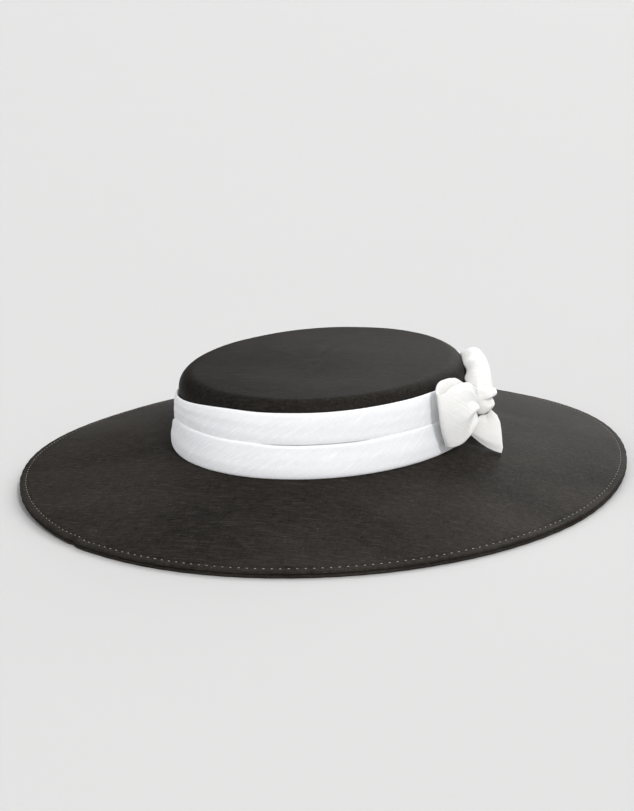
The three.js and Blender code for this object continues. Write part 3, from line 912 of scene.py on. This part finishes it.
class HAT_OT_bow_knot(bpy.types.Operator):
    """Makes the ribbon wrapped round the bow's waist"""
    bl_idname = "hat.bow_knot"
    bl_label = "Bow knot"

    def execute(self, context):
        rings, sides = 41, 72
        polar = np.linspace(-math.pi / 2, math.pi / 2, rings)[1:-1, None]
        turn = np.linspace(0, 2 * math.pi, sides, endpoint=False)[None, :]

        def boxy(value, power):
            """Squares a round form off: the lower the power, the boxier."""
            return np.sign(value) * np.abs(value) ** power

        x = np.sin(polar)
        y = np.cos(polar) * np.sin(turn)
        z = np.cos(polar) * np.cos(turn)
        along = boxy(x, 0.6) * KNOT_WIDTH / 2 + 0 * turn
        up = BOW_HEIGHT + boxy(y, 0.7) * KNOT_HEIGHT / 2
        crease = KNOT_CREASE * hump(y, KNOT_CREASE_PLACE, KNOT_CREASE_WIDTH)
        pleats = KNOT_PLEAT * np.cos(x * 9 + 0.5 * y) * np.cos(polar)
        depth = KNOT_DEPTH * (1 - crease) * (1 + KNOT_TILT * y)
        out = CLEARANCE + depth * (1 + boxy(z, 0.7)) / 2 + pleats * smooth((z + 0.2) * 2)
        places = bow_place(along, out, up)
        rows, columns = places.shape[:2]
        half = KNOT_WIDTH / 2
        middle = np.full(2, CLEARANCE + KNOT_DEPTH / 2)
        poles = bow_place(np.array([-half, half]), middle, np.full(2, BOW_HEIGHT))
        points = np.vstack([places.reshape(-1, 3), poles])
        uv = np.stack(np.broadcast_arrays(turn * KNOT_RADIUS * MM, along * MM), -1).reshape(-1, 2)
        uv = np.vstack([uv, [[0, -half * MM], [0, half * MM]]])
        faces = grid_faces(rows, columns, wrap_columns=True)
        first = rows * columns
        for j in range(columns):
            k = (j + 1) % columns
            faces.append((first, j, k))
            faces.append((first + 1, first - columns + k, first - columns + j))
        piece = add_piece("bow_knot_wrap", points, faces, white_silk(), "bow_knot", uv)
        return {"FINISHED"}


# The tail's rows on its way down: swing along the band, and where its edges stand off the band, as shares
TAIL_SHAPE = [
    (0.0, 0.12, 0.32, 0.52), (0.1, 0.34, 0.26, 0.70), (0.25, 0.52, 0.22, 0.81), (0.55, 0.75, 0.17, 0.90),
    (0.85, 0.92, 0.14, 0.96), (1.0, 1.0, 0.13, 0.94),
]
TAIL_CURL = 1.6  # how far its foot curls back along the band
TAIL_CURL_START = 0.72  # the share of the way down where that begins
TAIL_BEND = 1.2  # how far its middle bellies
TAIL_HEAD_RISE = 3.0  # how much higher its outer corner starts under the knot
TAIL_HEAD_START = 0.35
TAIL_CLOTH = 0.02  # its width and its length in the weave's coordinates, in metres


class HAT_OT_bow_tail(bpy.types.Operator):
    """Makes the short tail that hangs from the knot onto the brim"""
    bl_idname = "hat.bow_tail"
    bl_label = "Bow tail"

    def execute(self, context):
        columns, rows = 41, 41
        across = np.linspace(0, 1, columns)[None, :]
        down = np.linspace(0, 1, rows)[:, None]
        swing, inner, outer = (c[:, None] for c in read_table(TAIL_SHAPE, down[:, 0]))
        out = (inner + (outer - inner) * across) * TAIL_REACH
        curl = TAIL_CURL * smooth((down - TAIL_CURL_START) / (1 - TAIL_CURL_START)) * (1 - 0.5 * across)
        bend = TAIL_BEND * np.sin(math.pi * across) * np.sin(math.pi * down)
        along = -TAIL_SWING * swing + curl - bend + 0 * across
        tip = BAND_FACE + TAIL_REACH * TAIL_SHAPE[-1][3]
        ground = float(brim_top_at(tip)) + 3 * CLEARANCE - BAND_FOOT
        foot = ground + TAIL_RISE * (1 - across) ** TAIL_BOW
        head = BOW_HEIGHT - KNOT_HEIGHT / 2 - CLEARANCE
        head = head + TAIL_HEAD_RISE * smooth((across - TAIL_HEAD_START) / (1 - TAIL_HEAD_START))
        up = head + (foot - head) * down
        points = bow_place(along, out, up).reshape(-1, 3)
        uv = np.stack(np.broadcast_arrays(across * TAIL_CLOTH, down * TAIL_CLOTH), -1).reshape(-1, 2)
        faces = grid_faces(rows, columns)
        piece = add_piece("bow_short_tail", points, faces, white_silk(), "bow_tail", uv)
        thicken(piece, RIBBON)
        return {"FINISHED"}


# The camera, fitted to the photograph together with the hat: turns in degrees, lengths in metres
CAMERA_TURN = 24.0
CAMERA_RISE = 15.345
CAMERA_ROLL = -1.702
CAMERA_SENSOR = 36
CAMERA_FOCAL = 1636.4  # in the picture's pixels
PICTURE_WIDTH = 634
CAMERA_AIM = (0, 0, 0.0225)
CAMERA_LEFT = 0.00489
CAMERA_UP = 0.01384

FLOOR_REACH = 60
FLOOR_SIDES = 96

# The sun-like key light, from the picture's upper right
KEY_ENERGY = 1.4
KEY_SIZE = math.radians(7)
KEY_COLOUR = (1.0, 0.985, 0.96)
KEY_TURN = math.radians(-38)
KEY_RISE = math.radians(42)

# The studio round the hat: its walls' own light, then soft round patches of it. Each has its direction, how
# close to that a look has to be for the patch to begin and to be full, and its light
STUDIO_LIGHT = (0.95, 0.955, 0.965, 1)
STUDIO_PATCHES = (
    ((-0.2, -0.94, 0.28), -0.2, 0.9, (1.32, 1.32, 1.34, 1)),  # fill, from behind the camera
    ((0.0, 0.0, 1.0), 0.45, 0.97, (0.4, 0.4, 0.4, 1)),  # dim ceiling
    ((-0.74, 0.63, 0.24), 0.6, 0.9, (0.1, 0.1, 0.11, 1)),  # dark far wall, which the black silk mirrors
    ((0.0, 0.8, 0.6), 0.8, 0.96, (4.2, 4.2, 4.2, 1)),  # window, behind the hat
)


def aim(thing, back, up):
    """Turns a camera so that it looks against the direction back, with up as the picture's up."""
    right = up.cross(back).normalized()
    turn = Matrix((right, back.cross(right), back)).transposed().to_4x4()
    thing.matrix_world = Matrix.Translation(thing.location) @ turn


def set_camera(scene):
    turn, rise, roll = math.radians(CAMERA_TURN), math.radians(CAMERA_RISE), math.radians(CAMERA_ROLL)
    back = Vector((math.sin(turn) * math.cos(rise), -math.cos(turn) * math.cos(rise), math.sin(rise)))
    right = Vector((math.cos(turn), math.sin(turn), 0))
    up = back.cross(right)
    rolled_right = math.cos(roll) * right + math.sin(roll) * up
    rolled_up = -math.sin(roll) * right + math.cos(roll) * up
    data = bpy.data.cameras.new("Camera")
    data.sensor_fit = "HORIZONTAL"
    data.sensor_width = CAMERA_SENSOR
    data.lens = CAMERA_SENSOR * CAMERA_FOCAL / PICTURE_WIDTH
    data.clip_start, data.clip_end = 0.05, 200
    camera = bpy.data.objects.new("Camera", data)
    scene.collection.objects.link(camera)
    camera.location = Vector(CAMERA_AIM) + back - rolled_right * CAMERA_LEFT + rolled_up * CAMERA_UP
    aim(camera, back, rolled_up)
    scene.camera = camera
    scene.view_settings.view_transform = "Standard"


def lay_floor(scene):
    mesh = bpy.data.meshes.new("Floor")
    turns = [2 * math.pi * i / FLOOR_SIDES for i in range(FLOOR_SIDES)]
    ring = [(FLOOR_REACH * math.cos(t), FLOOR_REACH * math.sin(t), 0) for t in turns]
    mesh.from_pydata(ring, [], [tuple(range(FLOOR_SIDES))])
    floor = bpy.data.objects.new("Floor", mesh)
    mesh.materials.append(floor_material("Studio paper", tuple(scene.hat_colours.floor)))
    scene.collection.objects.link(floor)


def hang_key_light(scene):
    key = bpy.data.lights.new("Key light", "SUN")
    key.energy = KEY_ENERGY
    key.angle = KEY_SIZE
    key.color = KEY_COLOUR
    lamp = bpy.data.objects.new("Key light", key)
    scene.collection.objects.link(lamp)
    level = math.cos(KEY_RISE)
    toward = Vector((math.cos(KEY_TURN) * level, math.sin(KEY_TURN) * level, math.sin(KEY_RISE)))
    lamp.rotation_euler = toward.to_track_quat("Z", "Y").to_euler()


def light_studio(scene):
    world = bpy.data.worlds.new("Studio")
    world.use_nodes = True
    tree = world.node_tree
    tree.nodes.clear()
    way = add_node(tree, "ShaderNodeTexCoord").outputs["Generated"]
    light = {}
    for direction, begins, full, tone in STUDIO_PATCHES:
        toward = add_node(
            tree, "ShaderNodeVectorMath", {"operation": "DOT_PRODUCT"}, {1: direction}, {0: way}
        )
        share = add_node(
            tree, "ShaderNodeMapRange", {"interpolation_type": "SMOOTHSTEP"},
            {"From Min": begins, "From Max": full}, {"Value": toward.outputs["Value"]},
        ).outputs[0]
        mixed = add_node(
            tree, "ShaderNodeMix", {"data_type": "RGBA"}, {6: STUDIO_LIGHT, 7: tone}, {0: share, **light}
        )
        light = {6: mixed.outputs[2]}
    glow = add_node(tree, "ShaderNodeBackground", inputs={"Strength": 1.0}, links={"Color": light[6]})
    add_node(tree, "ShaderNodeOutputWorld", links={"Surface": glow.outputs[0]})
    scene.world = world


class HAT_OT_stage(bpy.types.Operator):
    """Sets the camera, the pale floor and the studio light"""
    bl_idname = "hat.stage"
    bl_label = "Floor, light and camera"

    def execute(self, context):
        set_camera(context.scene)
        lay_floor(context.scene)
        hang_key_light(context.scene)
        light_studio(context.scene)
        return {"FINISHED"}


class HAT_PT_panel(bpy.types.Panel):
    """Lists the hat's settings and its pieces"""
    bl_idname = "HAT_PT_panel"
    bl_label = "Boater hat"
    bl_space_type = "VIEW_3D"
    bl_region_type = "UI"
    bl_category = "Hat"

    def draw(self, context):
        layout = self.layout
        for group in (context.scene.hat_sizes, context.scene.hat_colours):
            for name in type(group).__annotations__:
                layout.prop(group, name)
        for maker in MAKERS:
            layout.operator(maker.bl_idname)


MAKERS = (
    HAT_OT_stage, HAT_OT_crown, HAT_OT_brim, HAT_OT_stitches, HAT_OT_band, HAT_OT_bow_knot, HAT_OT_bow_loops,
    HAT_OT_bow_tail,
)
CLASSES = (HatSizes, HatColours, *MAKERS, HAT_PT_panel)


def register():
    for part in CLASSES:
        bpy.utils.register_class(part)
    bpy.types.Scene.hat_sizes = PointerProperty(type=HatSizes)
    bpy.types.Scene.hat_colours = PointerProperty(type=HatColours)


def unregister():
    del bpy.types.Scene.hat_colours
    del bpy.types.Scene.hat_sizes
    for part in reversed(CLASSES):
        bpy.utils.unregister_class(part)


def main():
    register()
    bpy.ops.hat.stage()
    bpy.ops.hat.crown()
    bpy.ops.hat.brim()
    bpy.ops.hat.stitches()
    bpy.ops.hat.band()
    bpy.ops.hat.bow_knot()
    bpy.ops.hat.bow_loops()
    bpy.ops.hat.bow_tail()


if __name__ == "__main__":
    main()
